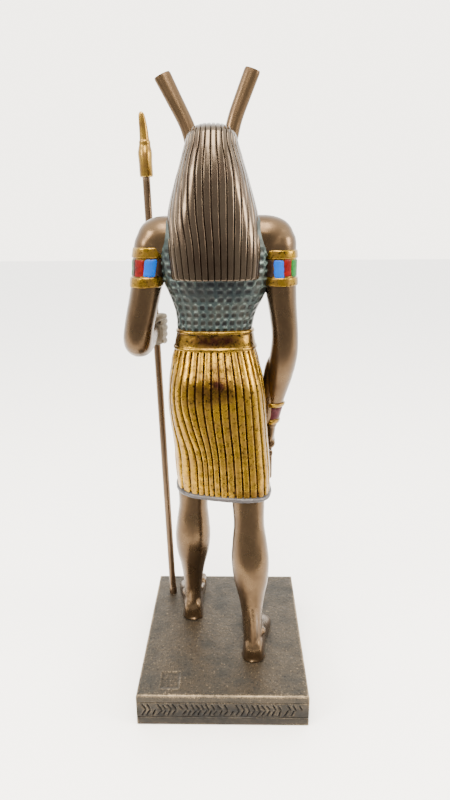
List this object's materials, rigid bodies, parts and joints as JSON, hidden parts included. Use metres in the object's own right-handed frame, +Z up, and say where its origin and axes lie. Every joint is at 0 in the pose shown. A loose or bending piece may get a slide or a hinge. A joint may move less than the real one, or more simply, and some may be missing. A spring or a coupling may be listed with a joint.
{
  "type": "god figurine",
  "caption": "Standing figurine of the Egyptian god Seth, striding on a rectangular plinth with a tall sceptre in one hand and an ankh in the other, in bronze-coloured cast resin.",
  "frame": {"origin": "middle of the plinth's underside, on the surface that the statue stands on", "axes": "+Z up, the figure faces -Y and its left hand with the sceptre is on +X"},
  "size_m": [0.0896, 0.101, 0.2998],
  "materials": {
    "antique_bronze": "satin antique bronze over cast resin",
    "worn_bronze": "stippled worn bronze over cast resin",
    "shaft_bronze": "satin brown bronze over cast resin"
  },
  "bodies": {
    "root": {"figure": "antique_bronze", "plinth": "worn_bronze", "sceptre": "shaft_bronze"}
  },
  "joints": []
}
